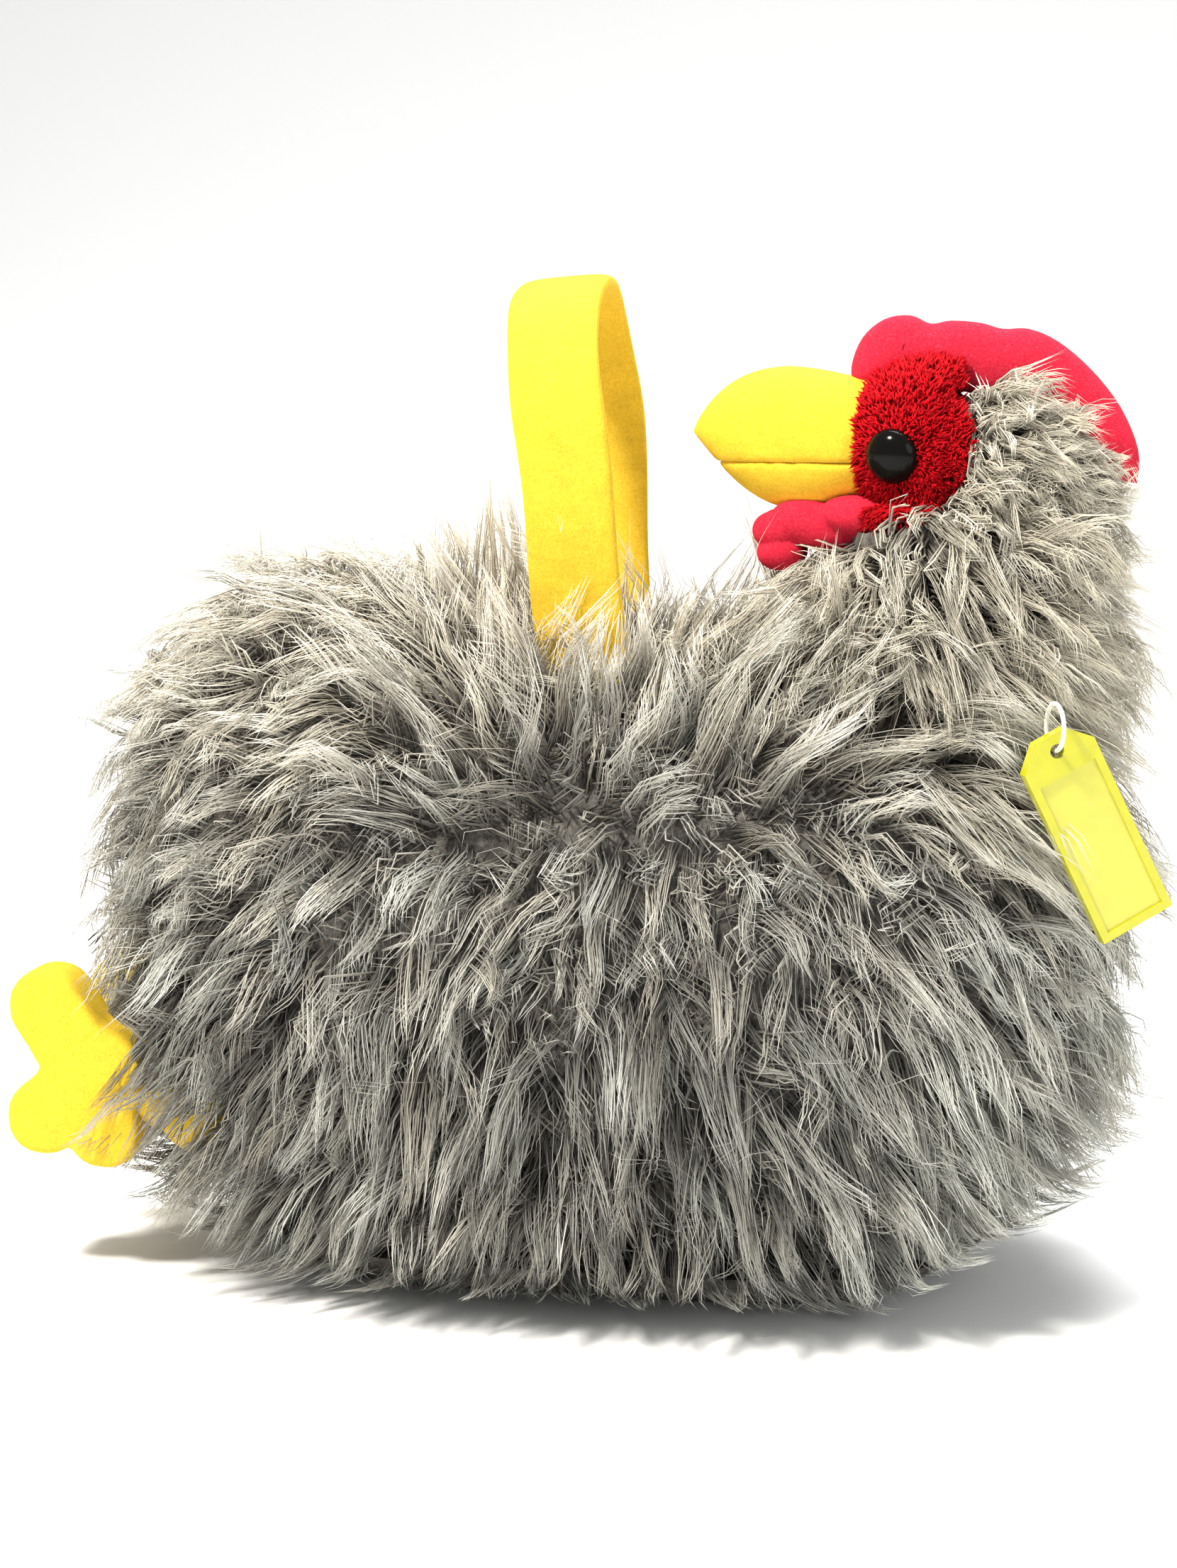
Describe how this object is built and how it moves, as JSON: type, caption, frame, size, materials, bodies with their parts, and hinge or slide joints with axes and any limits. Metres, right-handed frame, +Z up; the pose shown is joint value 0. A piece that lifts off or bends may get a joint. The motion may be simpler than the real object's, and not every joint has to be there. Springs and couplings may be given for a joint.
{
  "type": "plush hen with carrying handle",
  "caption": "Long-pile plush hen with a looped carrying handle on its back, a turned-back head with fleece beak and comb, trailing fleece feet and a plastic key tag.",
  "frame": {"origin": "middle of the footprint, on the surface that the hen rests on", "axes": "+X from the tail to the breast, +Z up, +Y to the hen's left side"},
  "size_m": [0.3222, 0.1886, 0.2797],
  "materials": {
    "long_pile": "long curled faux-fur pile, pale grey tips over a charcoal undercoat",
    "filling": "white polyester fibre filling",
    "yellow_fleece": "brushed yellow fleece",
    "red_plush": "short-pile red plush",
    "red_fleece": "brushed red fleece",
    "eye": "polished black safety eye",
    "washer": "moulded washer",
    "webbing": "woven tape",
    "loop": "nylon thread loop",
    "tag_plastic": "translucent yellow plastic",
    "tag_clear": "clear window",
    "tag_card": "plain card with ruled lines"
  },
  "bodies": {
    "torso": {"side_panel_left": "long_pile", "side_panel_right": "long_pile", "base_panel": "long_pile", "body_stuffing": "filling", "handle_anchor_left": "webbing", "handle_anchor_right": "webbing", "tag_loop": "loop"},
    "neck": {"neck_panel": "long_pile", "neck_stuffing": "filling"},
    "head": {"head_panel_left": "long_pile", "head_panel_right": "long_pile", "head_stuffing": "filling", "face_patch_left": "red_plush", "face_patch_right": "red_plush", "eye_left": "eye", "eye_right": "eye", "eye_washer_left": "washer", "eye_washer_right": "washer", "beak_upper": "yellow_fleece", "beak_lower": "yellow_fleece", "beak_stuffing": "filling", "comb": "red_fleece", "wattle_left": "red_fleece", "wattle_right": "red_fleece"},
    "handle": {"handle_outer": "yellow_fleece", "handle_core": "webbing", "handle_lining": "yellow_fleece"},
    "right_leg": {"leg_right": "yellow_fleece", "foot_right_outer": "yellow_fleece", "foot_right_sole": "yellow_fleece", "foot_right_stuffing": "filling"},
    "left_leg": {"leg_left": "yellow_fleece", "foot_left_outer": "yellow_fleece", "foot_left_sole": "yellow_fleece", "foot_left_stuffing": "filling"},
    "tag": {"tag_case": "tag_plastic", "tag_insert": "tag_card", "tag_window": "tag_clear"}
  },
  "joints": [
    {"name": "neck_turn", "type": "hinge", "parent": "torso", "child": "neck", "pos_m": [0.1, 0, 0.176], "axis": [0, 0, 1], "range_deg": [-60, 60]},
    {"name": "head_nod", "type": "hinge", "parent": "neck", "child": "head", "pos_m": [0.103, 0, 0.231], "axis": [0, -1, 0], "range_deg": [-15, 8]},
    {"name": "handle_fold", "type": "hinge", "parent": "torso", "child": "handle", "pos_m": [0.001, 0, 0.176], "axis": [0, 1, 0], "range_deg": [-40, 25]},
    {"name": "right_leg_swing", "type": "hinge", "parent": "torso", "child": "right_leg", "pos_m": [-0.107, -0.034, 0.046], "axis": [0, 1, 0], "range_deg": [-8, 20]},
    {"name": "left_leg_swing", "type": "hinge", "parent": "torso", "child": "left_leg", "pos_m": [-0.1, 0.038, 0.056], "axis": [0, 1, 0], "range_deg": [-8, 20]},
    {"name": "tag_swing", "type": "hinge", "parent": "torso", "child": "tag", "pos_m": [0.1305, -0.066, 0.158], "axis": [0.4067, -0.9135, 0], "range_deg": [-22, 27]}
  ]
}
